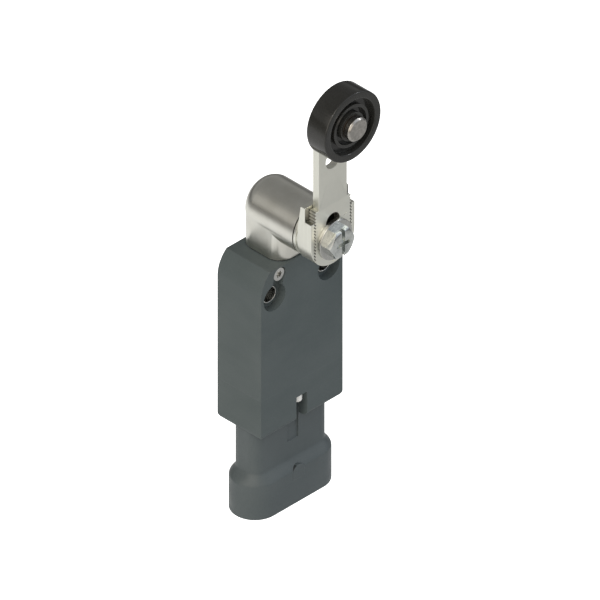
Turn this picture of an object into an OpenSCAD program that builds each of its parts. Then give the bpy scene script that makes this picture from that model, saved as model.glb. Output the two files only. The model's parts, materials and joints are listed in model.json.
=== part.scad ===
// Roller-lever limit switch with a plug-in connector.
// The origin is midway between the two fixing holes, on the flat rear face that
// is bolted to a machine. +X is to the right, -Y is the front, +Z is up.

/* [Housing] */
// Width of the housing
body_w = 30; // [28:0.5:38]
// Depth of the housing, from the mounting face to the front
body_d = 16; // [15.5:0.5:20]
// Height of the housing with its lower cap
body_h = 52.6; // [50:0.1:66]
// Height of the lower cap below the parting line
cap_h = 13.1; // [12.5:0.1:16]
// Height of the flat top above the fixing holes
top_rise = 8.7; // [8.5:0.1:11]
// Wall thickness of the housing
wall = 1.5; // [1.2:0.1:1.8]
// Radius of the large arcs at the top corners
shoulder_r = 9; // [7.5:0.5:10]
// Depth from the flat top to the centres of those arcs
shoulder_drop = 7; // [6:0.5:7.4]
// Radius of the rounded bottom edges
bottom_r = 2.2; // [1:0.1:3]

/* [Fixing holes] */
// Distance between the two fixing holes
hole_pitch = 20; // [19:0.5:22]
// Radius of the clear hole in each bush
hole_r = 2.15; // [1.7:0.05:2.6]
// Wall thickness of the metal bushes
bush_wall = 0.35; // [0.3:0.05:0.5]
// Radius of the round recess in front of each hole
recess_r = 4; // [3.4:0.1:4.4]
// Depth of that recess
recess_depth = 2.5; // [1.5:0.1:3]
// How far each bush stands out of its recess floor
bush_rim = 0.6; // [0.2:0.1:1]

/* [Head] */
// Radius of the horizontal barrel
barrel_r = 7.8; // [7.1:0.1:8.6]
// Height of the barrel axis above the flat top
axis_rise = 11; // [10.8:0.1:14]
// How far the barrel reaches out in front of the housing
barrel_reach = 4.2; // [4:0.1:6]
// How far the sides of the column lie inside the barrel
column_side = 0.25; // [0.1:0.05:0.6]
// Radius of the column corners and of the rounded rear end
head_corner_r = 4.7; // [4:0.1:6]
// Inner radius of the barrel
head_bore_r = 6; // [5.8:0.1:6.2]
// Thickness of the gasket below the head
gasket_t = 0.3; // [0.2:0.1:0.5]
// Height of the spigot that plugs into the housing
spigot_h = 4.7; // [4.5:0.1:5]
// Height of the head screws above the fixing holes
head_screw_z = 6.3; // [6.2:0.1:6.4]
// Shank radius of the head screws
head_screw_r = 1.25; // [1:0.05:1.5]
// Head radius of the head screws
head_screw_head_r = 1.9; // [1.7:0.1:2.1]

/* [Shaft and cam] */
// Radius of the shaft in its bush
shaft_r = 4; // [3.7:0.1:4.8]
// Radius of the shaft inside the cam
shaft_cam_r = 3; // [2.6:0.1:3.2]
// Full radius of the cam
cam_r = 5; // [4.4:0.1:5.4]
// Distance from the shaft axis to the flat of the cam
cam_flat = 3.9; // [3.6:0.1:4.2]
// Width of the cam along the shaft
cam_w = 6.4; // [5:0.1:6.6]

/* [Lever] */
// Distance from the shaft axis to the roller axis
lever_len = 38.9; // [32:0.1:48]
// Width of the lever bar
lever_w = 10.3; // [9:0.1:12]
// Thickness of the lever plate
lever_t = 2.2; // [1.5:0.1:2.5]
// Half width across the tips of the lever teeth
tooth_tip_x = 6.65; // [6.3:0.05:6.8]
// Pitch of the teeth
tooth_pitch = 1; // [0.8:0.1:1.2]
// Height of the teeth
tooth_h = 0.5; // [0.3:0.1:0.6]
// Gap between the teeth of the lever and those of the hub
tooth_gap = 0.3; // [0.05:0.01:0.35]
// Half width of the hub block
hub_r = 8; // [7.9:0.1:9]
// Half width of the adjusting slot
slot_r = 2.5; // [2.5:0.05:3]
// Distance between the end centres of the adjusting slot
slot_len = 7.9; // [5:0.1:9]
// Radius of the clamp screw shank
clamp_r = 2.4; // [1.9:0.05:2.45]
// Width across the flats of the clamp screw
clamp_af = 8; // [7:0.5:9]
// Radius of the clamp washer
clamp_washer_r = 5.9; // [5:0.1:6.5]

/* [Roller] */
// Radius of the roller
roller_r = 10.3; // [8.3:0.1:12]
// Width of the roller
roller_w = 7; // [6:0.1:9]
// Radius of the roller pin
pin_r = 2.55; // [2:0.05:2.9]
// Wall thickness of the roller bush
roller_bush_wall = 0.8; // [0.5:0.1:1]
// Head radius of the roller pin
pin_head_r = 3.5; // [3.2:0.1:4]
// Head thickness of the roller pin
pin_head_t = 1.9; // [1:0.1:2.5]

/* [Contacts] */
// Travel of the plunger and the contacts
travel = 2; // [1.5:0.1:2.2]
// Radius of the plunger stem
plunger_r = 2; // [1.6:0.1:2.3]
// Half the distance between the contact rivets
contact_x = 7; // [6:0.1:8]
// Thickness of the contact strips
strip_t = 0.6; // [0.4:0.1:0.8]

/* [Connector] */
// Width of the neck
neck_w = 27.1; // [26.5:0.1:27.5]
// Depth of the neck
neck_d = 9.4; // [9:0.1:10.5]
// Corner radius of the neck
neck_r = 3.2; // [2:0.1:4]
// Length of the neck below the housing
neck_l = 14; // [9:0.1:18]
// Radius of the round ends of the skirt
skirt_r = 6.84; // [6.5:0.02:8]
// Distance between the end centres of the skirt
skirt_pitch = 18.48; // [18:0.02:20]
// Height of the skirt with its rounded shoulder
skirt_h = 12.5; // [11:0.1:16]
// Radius of the rounded shoulder
skirt_round = 2.4; // [1:0.1:3]
// Wall thickness of the skirt
skirt_wall = 1.5; // [1:0.1:1.8]
// Distance between neighbouring pins
pin_pitch = 6; // [5.6:0.1:6.4]
// Radius of the connector pins
contact_pin_r = 0.75; // [0.5:0.05:0.75]

/* [Hidden] */
$fn = 64;

// Clearances
run_gap = 0.05;     // radial, between a turning shaft and its bush
slide_gap = 0.07;   // radial, round a sliding stem
fit_gap = 0.05;     // each side, round a piece that is pushed in
part_gap = 0.1;     // each side, between neighbouring mouldings
end_gap = 0.1;      // axial, beside a turning piece
move_gap = 0.3;     // between a moving piece and the casing
eps = 0.01;         // overlap of cutters

// Housing
mid_y = -body_d / 2;
top_z = top_rise;
bot_z = top_z - body_h;
cap_z = bot_z + cap_h;
shoulder_x = body_w / 2 - shoulder_r;
side_wall = wall + 0.3;
cavity_w = body_w - 2 * side_wall;
cavity_d = body_d - 2 * wall;
cavity_r = 1;
hole_x = hole_pitch / 2;
bush_r = hole_r + bush_wall;
cavity_drop = 3.5;
cavity_top_z = -bush_r - cavity_drop;
recess_floor_y = -body_d + recess_depth;

// Head
axis_z = top_z + axis_rise;
gasket_z = top_z + gasket_t;
head_front_y = -body_d - barrel_reach;
column_inset = 0.5;
column_front_y = -body_d + column_inset;
head_back_y = -0.2;
spigot_inset = 0.5;
column_x = barrel_r - column_side;
spigot_x = column_x - spigot_inset;
spigot_y = body_d / 2 - recess_depth - move_gap;
spigot_z = top_z - spigot_h;
screw_bite = 0.25;
head_screw_x = spigot_x + head_screw_r - screw_bite;
screw_lobe_r = head_screw_head_r + move_gap;
screw_head_t = 1.6;
screw_face_y = -body_d + move_gap;
screw_seat_y = screw_face_y + screw_head_t;
screw_tip_y = -3;
keyway_w = 3.8;

// Hub and lever, from the head to the front
hub_rear_y = head_front_y - move_gap;
hub_ring_t = 0.9;
hub_groove_t = 0.2;
hub_collar_t = 0.8;
hub_block_y = hub_rear_y - hub_ring_t - hub_groove_t - hub_collar_t;
hub_block_t = 2.7;
hub_front_y = hub_block_y - hub_block_t;
ear_t = lever_t + part_gap;
hub_top_z = axis_z + 12;
hub_slope_z = axis_z + 4.5;
hub_slope_t = 1.3;
ear_top_z = axis_z + 7.7;
lever_rear_y = hub_front_y - part_gap;
lever_front_y = lever_rear_y - lever_t;
roller_z = axis_z + lever_len;
tooth_top_z = axis_z + 11.3;
teeth_from_z = axis_z - hub_r;
slot_low_z = axis_z - 2.5;
spare_hole_drop = 14.1;
washer_t = 1.3;
clamp_head_t = 2.6;

// Shaft, from the rear end to the front
journal_r = 2;
head_bore_y = -3;
journal_len = 1.6;
cam_rear_y = mid_y + cam_w / 2;
cam_front_y = cam_rear_y - cam_w;
step_y = cam_front_y - move_gap - part_gap;
bush_front_y = head_front_y + 1.2;
bush_rear_y = bush_front_y + 2.8;
circlip_t = 0.7;
circlip_groove = 0.5;
clip_t = 0.6;
clip_r = 5.2;
clip_groove_r = shaft_r - 0.5;
clip_front_y = bush_rear_y + end_gap;
seal_wire_r = 0.5;
seal_y = (bush_front_y + bush_rear_y) / 2;
hub_bore_r = shaft_r - 0.5;
shaft_shoulder_y = hub_rear_y;
shaft_front_y = hub_front_y + 2 * part_gap;
thread_clear = 0.05;
thread_depth = 8;
clamp_tip_y = hub_front_y + thread_depth - 1;

// Roller
spacer_t = 0.35;
roller_rear_y = lever_front_y - spacer_t - end_gap;
roller_front_y = roller_rear_y - roller_w;
roller_bush_r = pin_r + run_gap + roller_bush_wall;
roller_edge_r = 0.4;
rim_t = 2.2;
web_t = 3;
rib_r = 6.3;
rib_w = 0.8;
rib_low = 0.7;
nave_wall = 0.75;
nave_low = 0.3;
rivet_t = 0.6;

// Plunger and contacts, from the cam downwards
cam_gap = 0.15;
pad_top_z = axis_z - cam_r - cam_gap;
pad_t = 1.2;
pad_r = 3;
guide_pocket_r = pad_r + move_gap;
guide_floor_z = gasket_z;
diaphragm_r = 4.9;
diaphragm_t = 1.3;
diaphragm_z = spigot_z - part_gap - diaphragm_t;
channel_r = 3.4;
block_w = cavity_w - 2 * move_gap;
block_d = cavity_d - 2 * move_gap;
block_top_z = cavity_top_z - move_gap;
lip_h = 1.8;
seal_low = 0.5;
seal_h = 0.8;
seal_groove = 0.4;
block_bot_z = cap_z + lip_h + 2 * part_gap;
block_wall = 1.5;
block_roof = 2;
cover_t = 1.2;
carriage_drop = 0.7;
carriage_top_z = block_top_z - block_roof - carriage_drop;
plunger_bot_z = carriage_top_z + fit_gap;
carriage_w = 5.2;
carriage_d = 6;
bridge_d = 3;
bridge_x = contact_x + 1.5;
rivet_r = 1.5;
rivet_h = 0.6;
bridge_rivet_h = 0.5;
window_h = 3;
window_d = bridge_d + 4 * part_gap;
nc_rivet_z = carriage_top_z - 4;
nc_plate_z = nc_rivet_z - fit_gap - bridge_rivet_h;
nc_window_z = nc_plate_z + part_gap;
no_window_z = nc_window_z - window_h - 1;
no_plate_z = no_window_z - window_h + strip_t + fit_gap;
no_rivet_z = no_plate_z - strip_t - bridge_rivet_h - travel - fit_gap;
carriage_bot_z = no_window_z - window_h - 2;
leg_w = 1.8;
leg_x = block_w / 2 - block_wall;
nc_leg_y = mid_y + 2.6;
no_leg_y = mid_y - 2.6;

// Connector
board_t = 1;
board_z = cap_z - 0.8;
board_w = block_w - 1.6;
board_d = 7.8;
neck_top_z = bot_z + 9.3;
board_pocket_w = board_w + 4 * part_gap;
shoulder_z = bot_z - neck_l;
skirt_bot_z = shoulder_z - skirt_h;
socket_depth = 10.3;
socket_r = skirt_r - skirt_wall;
socket_top_z = skirt_bot_z + socket_depth;
contact_pin_bot_z = skirt_bot_z + 4.3;
key_w = 4;
key_end_z = bot_z - 7.7;
window_w = 4;
window_top_z = bot_z + 8.1;
lug_w = 4.3;
lug_z = skirt_bot_z + 7.5;
lug_h = 4.35;
lug_proud = 0.1;
peg_r = 1.6;
peg_skin = 0.5;
peg_y = -body_d + peg_r + peg_skin;
key_floor_y = peg_y + peg_r + move_gap + fit_gap;
peg_bot_z = window_top_z - 2.6;
peg_top_z = cap_z - 0.7;

// ---- Shared shapes ----

// A flat rectangle about its centre, with round corners
module round_rect(w, h, r) {
  square([w - 2 * r, h], center = true);
  square([w, h - 2 * r], center = true);
  for (sx = [-1, 1], sy = [-1, 1])
    translate([sx * (w / 2 - r), sy * (h / 2 - r)])
      circle(r = r);
}

// An outline in X and Z, thickened from rear_y towards the front
module slab(rear_y, t) {
  translate([0, rear_y, 0])
    rotate([90, 0, 0])
      linear_extrude(t)
        children();
}

// A cylinder that runs from rear_y towards the front
module bar(r, rear_y, len, x = 0, z = 0) {
  translate([x, rear_y, z])
    rotate([90, 0, 0])
      cylinder(r = r, h = len);
}

// A tube that runs from rear_y towards the front
module sleeve(r_out, r_in, rear_y, len, x = 0, z = 0) {
  difference() {
    bar(r_out, rear_y, len, x, z);
    bar(r_in, rear_y + eps, len + 2 * eps, x, z);
  }
}

// An upright cylinder
module post(r, z0, z1, x = 0, y = mid_y) {
  translate([x, y, z0])
    cylinder(r = r, h = z1 - z0);
}

// An upright block with round corners, about the middle of the housing
module block(w, d, z0, z1, r = cavity_r) {
  translate([0, mid_y, z0])
    linear_extrude(z1 - z0)
      round_rect(w, d, r);
}

// A profile of radius and height, turned about the Y axis
module turned(rear_y, z) {
  translate([0, rear_y, z])
    rotate([90, 0, 0])
      rotate_extrude()
        children();
}

// A coil spring of round wire that stands on the XY plane
module coil(mean_r, wire_r, len, turns) {
  sides = 8;
  steps = 18;
  last = floor(turns * steps);
  rise = len - 2 * wire_r;
  points = [
    for (i = [0 : last], k = [0 : sides - 1])
      let (a = 360 * i / steps, b = 360 * k / sides, rad = mean_r + wire_r * cos(b))
      [rad * cos(a), rad * sin(a), wire_r + rise * i / last + wire_r * sin(b)]
  ];
  skin = [
    for (i = [0 : last - 1], k = [0 : sides - 1])
      let (a = i * sides + k, b = i * sides + (k + 1) % sides)
      [a, b, b + sides, a + sides]
  ];
  ends = [
    [for (k = [sides - 1 : -1 : 0]) k],
    [for (k = [0 : sides - 1]) last * sides + k]
  ];
  polyhedron(points, concat(skin, ends));
}

// ---- Housing ----

// Front view of the closed housing
module front_outline() {
  arc_z = top_z - shoulder_drop;
  intersection() {
    union() {
      translate([-body_w / 2, bot_z + bottom_r])
        square([body_w, arc_z - bot_z - bottom_r]);
      translate([-body_w / 2 + bottom_r, bot_z])
        square([body_w - 2 * bottom_r, body_h / 2]);
      translate([-shoulder_x, arc_z - eps])
        square([2 * shoulder_x, shoulder_drop + eps]);
      for (side = [-1, 1]) {
        translate([side * shoulder_x, arc_z])
          circle(r = shoulder_r);
        translate([side * (body_w / 2 - bottom_r), bot_z + bottom_r])
          circle(r = bottom_r);
      }
    }
    translate([-body_w / 2, bot_z])
      square([body_w, body_h]);
  }
}

// Side view of the closed housing, drawn with depth along X and height along Y
module side_outline() {
  translate([-body_d, bot_z + bottom_r])
    square([body_d, body_h - bottom_r]);
  translate([-body_d + bottom_r, bot_z])
    square([body_d - 2 * bottom_r, body_h]);
  for (y = [-body_d + bottom_r, -bottom_r])
    translate([y, bot_z + bottom_r])
      circle(r = bottom_r);
}

// The closed housing as one solid block
module housing_block() {
  intersection() {
    slab(0, body_d)
      front_outline();
    rotate([90, 0, 90])
      translate([0, 0, -body_w / 2])
        linear_extrude(body_w)
          side_outline();
  }
}

// One keyhole recess in the front: a round seat for a fixing screw and a slot
// that leads up to the head screw
module keyhole(side) {
  lean = side * (head_screw_x - hole_x);
  slab(recess_floor_y, recess_depth + eps) {
    translate([side * hole_x, 0])
      circle(r = recess_r);
    translate([side * hole_x, 0])
      rotate(-atan2(lean, head_screw_z))
        translate([-keyway_w / 2, 0])
          square([keyway_w, norm([lean, head_screw_z])]);
  }
  bar(screw_lobe_r, screw_seat_y, -screw_seat_y + body_d, side * head_screw_x, head_screw_z);
}

module housing() {
  color("#50585b")
    difference() {
      intersection() {
        housing_block();
        translate([-body_w, -2 * body_d, cap_z])
          cube([2 * body_w, 3 * body_d, body_h]);
      }
      block(cavity_w, cavity_d, cap_z - eps, cavity_top_z);
      post(channel_r, cavity_top_z - eps, spigot_z);
      post(diaphragm_r + fit_gap, diaphragm_z - part_gap / 2, spigot_z);
      translate([0, 0, spigot_z - part_gap / 2])
        linear_extrude(spigot_h + 1)
          spigot_outline(fit_gap);
      for (side = [-1, 1]) {
        bar(bush_r + fit_gap / 2, 1, body_d + 2, side * hole_x);
        keyhole(side);
        bar(head_screw_r + fit_gap / 2, screw_tip_y, body_d, side * head_screw_x, head_screw_z);
      }
    }
}

module lower_cap() {
  lip_w = cavity_w - 2 * part_gap;
  lip_d = cavity_d - 2 * part_gap;
  lip_t = 0.9;
  color("#4d5558")
    difference() {
      union() {
        intersection() {
          housing_block();
          translate([-body_w, -2 * body_d, bot_z - 1])
            cube([2 * body_w, 3 * body_d, cap_h + 1]);
        }
        block(lip_w, lip_d, cap_z - eps, cap_z + lip_h);
      }
      difference() {
        block(lip_w + 1, lip_d + 1, cap_z + seal_low, cap_z + seal_low + seal_h + fit_gap);
        block(lip_w - 2 * seal_groove, lip_d - 2 * seal_groove, cap_z, cap_z + lip_h);
      }
      block(lip_w - 2 * lip_t, lip_d - 2 * lip_t, cap_z, cap_z + lip_h + eps);
      block(board_pocket_w, board_d + 4 * part_gap, neck_top_z - eps, cap_z + eps);
      block(neck_w + 2 * fit_gap, neck_d + 2 * fit_gap, bot_z - 1, neck_top_z, neck_r);
      translate([-window_w / 2, -body_d - 1, bot_z - 1])
        cube([window_w, 1 + body_d / 2, window_top_z - bot_z + 1]);
      post(peg_r + fit_gap, bot_z - 1, peg_top_z, 0, peg_y);
    }
}

module cap_seal() {
  w = cavity_w - fit_gap;
  d = cavity_d - fit_gap;
  inner = part_gap + seal_groove - fit_gap / 2;
  color("#202020")
    difference() {
      block(w, d, cap_z + seal_low + fit_gap / 2, cap_z + seal_low + seal_h);
      block(w - 2 * inner, d - 2 * inner, cap_z, cap_z + lip_h);
    }
}

// White peg that keys the connector into the lower cap
module latch_pin() {
  tip_r = 0.5;
  color("white")
    translate([0, peg_y, peg_bot_z])
      rotate_extrude() {
        square([peg_r - tip_r, peg_top_z - peg_bot_z - part_gap]);
        translate([0, tip_r])
          square([peg_r, peg_top_z - peg_bot_z - part_gap - tip_r]);
        translate([peg_r - tip_r, tip_r])
          intersection() {
            circle(r = tip_r);
            translate([-(peg_r - tip_r), -tip_r])
              square([peg_r, 2 * tip_r]);
          }
      }
}

module mounting_bushes() {
  color("silver")
    for (side = [-1, 1])
      sleeve(bush_r, hole_r, 0, body_d - recess_depth + bush_rim, side * hole_x);
}

// ---- Connector ----

// Places its children at each of the four connector pins
module each_pin() {
  for (i = [-1.5 : 1 : 1.5])
    translate([i * pin_pitch, mid_y, 0])
      children();
}

// An oval with a rounded upper edge
module rounded_oval(r, z0, z1, edge_r) {
  for (side = [-1, 1])
    translate([side * skirt_pitch / 2, mid_y, z0])
      rotate_extrude()
        half_section(r, z1 - z0, edge_r);
  translate([-skirt_pitch / 2, mid_y, z0])
    rotate([90, 0, 90])
      linear_extrude(skirt_pitch) {
        half_section(r, z1 - z0, edge_r);
        mirror([1, 0])
          half_section(r, z1 - z0, edge_r);
      }
}

// Half the section of that oval: a rectangle with a rounded upper corner
module half_section(r, h, edge_r) {
  square([r, h - edge_r]);
  square([r - edge_r, h]);
  translate([r - edge_r, h - edge_r])
    intersection() {
      circle(r = edge_r);
      square(edge_r);
    }
}

module connector_body() {
  color("#4f5759")
    difference() {
      union() {
        block(neck_w, neck_d, shoulder_z - skirt_round, neck_top_z - fit_gap, neck_r);
        rounded_oval(skirt_r, skirt_bot_z, shoulder_z, skirt_round);
        connector_lug();
      }
      plain_oval(socket_r, skirt_bot_z - 1, socket_top_z);
      translate([-key_w / 2, mid_y - neck_d / 2 - 1, key_end_z])
        cube([key_w, key_floor_y - mid_y + neck_d / 2 + 1, neck_top_z - key_end_z]);
      each_pin()
        translate([0, 0, skirt_bot_z])
          cylinder(r = contact_pin_r + fit_gap / 2, h = body_h);
    }
}

// A plain oval block
module plain_oval(r, z0, z1) {
  translate([0, mid_y, z0])
    linear_extrude(z1 - z0) {
      square([skirt_pitch, 2 * r], center = true);
      for (side = [-1, 1])
        translate([side * skirt_pitch / 2, 0])
          circle(r = r);
    }
}

// Keying lug on the front of the skirt, with a rounded upper end
module connector_lug() {
  lug_r = lug_w / 2;
  slab(mid_y - neck_d / 2, skirt_r - neck_d / 2 + lug_proud) {
    translate([-lug_r, lug_z])
      square([lug_w, lug_h - lug_r]);
    translate([0, lug_z + lug_h - lug_r])
      circle(r = lug_r);
  }
}

module connector_pins() {
  tip_h = 0.8;
  color("gold")
    each_pin() {
      translate([0, 0, contact_pin_bot_z + tip_h])
        cylinder(r = contact_pin_r, h = board_z + board_t + 0.5 - contact_pin_bot_z - tip_h);
      translate([0, 0, contact_pin_bot_z])
        cylinder(r1 = contact_pin_r / 2, r2 = contact_pin_r, h = tip_h);
    }
}

module connector_board() {
  color("darkgreen")
    difference() {
      block(board_w, board_d, board_z, board_z + board_t, 0.5);
      each_pin()
        translate([0, 0, board_z - 1])
          cylinder(r = contact_pin_r + fit_gap, h = board_t + 2);
      each_leg(nc_leg_y)
        leg_hole();
      each_leg(no_leg_y)
        leg_hole();
    }
}

// The slot in the board that one contact leg is soldered into
module leg_hole() {
  translate([-strip_t - fit_gap, -leg_w / 2 - fit_gap, board_z - 1])
    cube([strip_t + 2 * fit_gap, leg_w + 2 * fit_gap, board_t + 2]);
}

// Places its children at the two legs of one contact pair, at the inside of
// each side wall of the switch block
module each_leg(y) {
  for (side = [0, 1])
    mirror([side, 0, 0])
      translate([leg_x - fit_gap, y, 0])
        children();
}

// ---- Head ----

// The plan of the head column
module column_outline(inset = 0) {
  depth = head_back_y - column_front_y - 2 * inset;
  translate([0, (head_back_y + column_front_y) / 2])
    round_rect(2 * (column_x - inset), depth, head_corner_r - inset);
}

// The plan of the spigot below the column
module spigot_outline(grow = 0) {
  intersection() {
    column_outline(spigot_inset - grow);
    translate([-2 * spigot_x, mid_y - spigot_y - grow])
      square([4 * spigot_x, 2 * (spigot_y + grow)]);
  }
}

module head_body() {
  barrel_len = head_back_y - head_front_y;
  color("#b4b4aa")
    difference() {
      union() {
        translate([0, 0, gasket_z])
          linear_extrude(axis_z - gasket_z)
            column_outline();
        turned(head_back_y - barrel_len, axis_z)
          mirror([0, 1])
            half_section(barrel_r, barrel_len, head_corner_r);
        translate([0, 0, spigot_z])
          linear_extrude(gasket_z - spigot_z + eps)
            spigot_outline();
      }
      bar(head_bore_r, head_bore_y, body_d + barrel_reach, 0, axis_z);
      bar(journal_r + run_gap, head_bore_y + journal_len, body_d, 0, axis_z);
      bar(head_bore_r + circlip_groove, bush_front_y - fit_gap, circlip_t, 0, axis_z);
      post(guide_pocket_r, guide_floor_z, axis_z);
      post(plunger_r + slide_gap, spigot_z - 1, guide_floor_z + 1);
      for (side = [-1, 1])
        bar(head_screw_r + fit_gap / 2, 0, body_d, side * head_screw_x, head_screw_z);
    }
}

module head_gasket() {
  color("#1c1c1c")
    difference() {
      translate([0, 0, top_z])
        linear_extrude(gasket_t)
          column_outline(0.15);
      translate([0, 0, top_z - 1])
        linear_extrude(gasket_t + 2)
          spigot_outline(fit_gap);
    }
}

// Star-shaped drive recess
module star_recess(r, rear_y, depth, x, z) {
  bar(r * 0.75, rear_y, depth, x, z);
  for (a = [0 : 60 : 300])
    bar(r * 0.28, rear_y, depth, x + r * 0.72 * cos(a), z + r * 0.72 * sin(a));
}

module head_screws() {
  star_r = 1;
  star_depth = 1;
  color("silver")
    for (side = [-1, 1])
      difference() {
        union() {
          bar(head_screw_head_r, screw_seat_y, screw_head_t, side * head_screw_x, head_screw_z);
          bar(head_screw_r, screw_tip_y - part_gap, screw_tip_y - screw_seat_y,
              side * head_screw_x, head_screw_z);
        }
        star_recess(star_r, screw_face_y + star_depth, 2, side * head_screw_x, head_screw_z);
      }
}

// ---- Shaft and cam ----

module lever_shaft() {
  clip_zone = clip_t + 2 * fit_gap;
  color("silver")
    difference() {
      union() {
        bar(journal_r, head_bore_y + journal_len - end_gap, journal_len + 1, 0, axis_z);
        bar(shaft_cam_r, cam_rear_y, cam_rear_y - step_y, 0, axis_z);
        bar(shaft_cam_r, head_bore_y - end_gap, cam_rear_y - step_y, 0, axis_z);
        bar(clip_groove_r, step_y, step_y - clip_front_y + clip_zone, 0, axis_z);
        bar(shaft_r, clip_front_y, clip_front_y - shaft_shoulder_y, 0, axis_z);
        bar(hub_bore_r, shaft_shoulder_y, shaft_shoulder_y - shaft_front_y, 0, axis_z);
      }
      bar(clamp_r + thread_clear, hub_front_y + thread_depth, 2 * thread_depth, 0, axis_z);
    }
}

module shaft_bush() {
  color("#b08d57")
    difference() {
      sleeve(head_bore_r, shaft_r + run_gap, bush_rear_y, bush_rear_y - bush_front_y, 0, axis_z);
      sleeve(shaft_r + 2 * seal_wire_r + fit_gap, shaft_r - 1, seal_y + seal_wire_r + fit_gap,
             2 * (seal_wire_r + fit_gap), 0, axis_z);
    }
}

module shaft_seal() {
  color("#202020")
    turned(seal_y, axis_z)
      translate([shaft_r + seal_wire_r + fit_gap / 2, 0])
        circle(r = seal_wire_r);
}

module bush_circlip() {
  ring_w = 1;
  mouth = 3;
  color("#8f8f8f")
    difference() {
      sleeve(head_bore_r + circlip_groove - fit_gap, head_bore_r - ring_w, bush_front_y - 2 * fit_gap,
             circlip_t - 2 * fit_gap, 0, axis_z);
      translate([-mouth / 2, bush_front_y - 2, axis_z])
        cube([mouth, 4, 2 * head_bore_r]);
    }
}

module shaft_clip() {
  mouth = 4;
  color("#8f8f8f")
    difference() {
      sleeve(clip_r, clip_groove_r + fit_gap / 2, clip_front_y + clip_t, clip_t, 0, axis_z);
      translate([-mouth / 2, clip_front_y - 1, axis_z])
        cube([mouth, 3, 2 * clip_r]);
    }
}

module cam() {
  color("#9a9a9a")
    difference() {
      sleeve(cam_r, shaft_cam_r + fit_gap / 2, cam_rear_y, cam_w, 0, axis_z);
      translate([-2 * cam_r, cam_front_y - 1, axis_z - cam_flat - 2 * cam_r])
        cube([4 * cam_r, cam_w + 2, 2 * cam_r]);
    }
}

module lever_spring() {
  wire_r = 0.35;
  room = cam_front_y - clip_front_y - clip_t - 2 * move_gap;
  color("#7a7a7a")
    translate([0, cam_front_y - move_gap, axis_z])
      rotate([90, 0, 0])
        coil((clip_groove_r + head_bore_r) / 2, wire_r, room, 3.2);
}

// ---- Hub and lever ----

// Points up one toothed edge, from z0 to z1, with the valleys at x0
function rack(x0, z0, z1) =
  [for (i = [0 : 2 * floor((z1 - z0) / tooth_pitch)]) [x0 + (i % 2) * tooth_h, z0 + i * tooth_pitch / 2]];

// A strip with both edges toothed
module toothed_strip(x0, z0, z1) {
  right = rack(x0, z0, z1);
  left = [for (i = [len(right) - 1 : -1 : 0]) [-right[i][0], right[i][1]]];
  polygon(concat(right, left));
}

// Front outline of the hub: straight sides and a half-round lower end
module hub_outline(top) {
  translate([0, axis_z])
    circle(r = hub_r);
  translate([-hub_r, axis_z])
    square([2 * hub_r, top - axis_z]);
}

module hub() {
  valley_x = tooth_tip_x - tooth_h + tooth_gap;
  ring_r = barrel_r - 0.05;
  color("#c8c8bc")
    difference() {
      union() {
        bar(ring_r, hub_rear_y, hub_ring_t, 0, axis_z);
        bar(ring_r - 0.35, hub_rear_y - hub_ring_t + eps, hub_groove_t + 2 * eps, 0, axis_z);
        bar(hub_r - 0.3, hub_rear_y - hub_ring_t - hub_groove_t, hub_collar_t + eps, 0, axis_z);
        slab(hub_block_y, hub_block_t)
          hub_outline(hub_top_z);
        slab(hub_front_y + eps, ear_t + eps)
          difference() {
            hub_outline(ear_top_z);
            toothed_strip(valley_x, teeth_from_z, tooth_top_z);
          }
      }
      translate([-hub_r - 1, 0, 0])
        rotate([90, 0, 90])
          linear_extrude(2 * hub_r + 2)
            polygon([[hub_block_y, hub_slope_z], [hub_block_y + 1, hub_slope_z],
                     [hub_block_y + 1, hub_top_z + 1], [hub_block_y - hub_slope_t, hub_top_z + 1]]);
      bar(hub_bore_r, hub_rear_y + 1, body_d, 0, axis_z);
    }
}

module lever_plate() {
  tick_w = 0.35;
  tick_l = 1.3;
  tick_depth = 0.2;
  tick_lean = 28;
  color("#b0b0a6")
    difference() {
      slab(lever_rear_y, lever_t)
        difference() {
          union() {
            intersection() {
              toothed_strip(tooth_tip_x - tooth_h, teeth_from_z, tooth_top_z);
              union() {
                translate([0, axis_z])
                  circle(r = hub_r);
                translate([-hub_r, axis_z])
                  square([2 * hub_r, tooth_top_z - axis_z]);
              }
            }
            translate([-lever_w / 2, axis_z])
              square([lever_w, lever_len]);
            translate([0, roller_z])
              circle(r = lever_w / 2);
          }
          for (z = [slot_low_z, slot_low_z + slot_len])
            translate([0, z])
              circle(r = slot_r);
          translate([-slot_r, slot_low_z])
            square([2 * slot_r, slot_len]);
          for (z = [roller_z, roller_z - spare_hole_drop])
            translate([0, z])
              circle(r = pin_r + fit_gap);
        }
      translate([lever_w / 2 - tick_l / 2, lever_front_y - 1, slot_low_z + slot_len])
        rotate([0, -tick_lean, 0])
          translate([-tick_l / 2, 0, -tick_w / 2])
            cube([tick_l, 1 + tick_depth, tick_w]);
      translate([-tick_w / 2, lever_front_y - 1, axis_z - hub_r + 0.5])
        cube([tick_w, 1 + tick_depth, tick_l]);
    }
}

module clamp_washer() {
  color("#c0c0b8")
    sleeve(clamp_washer_r, clamp_r + fit_gap, lever_front_y, washer_t, 0, axis_z);
}

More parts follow.
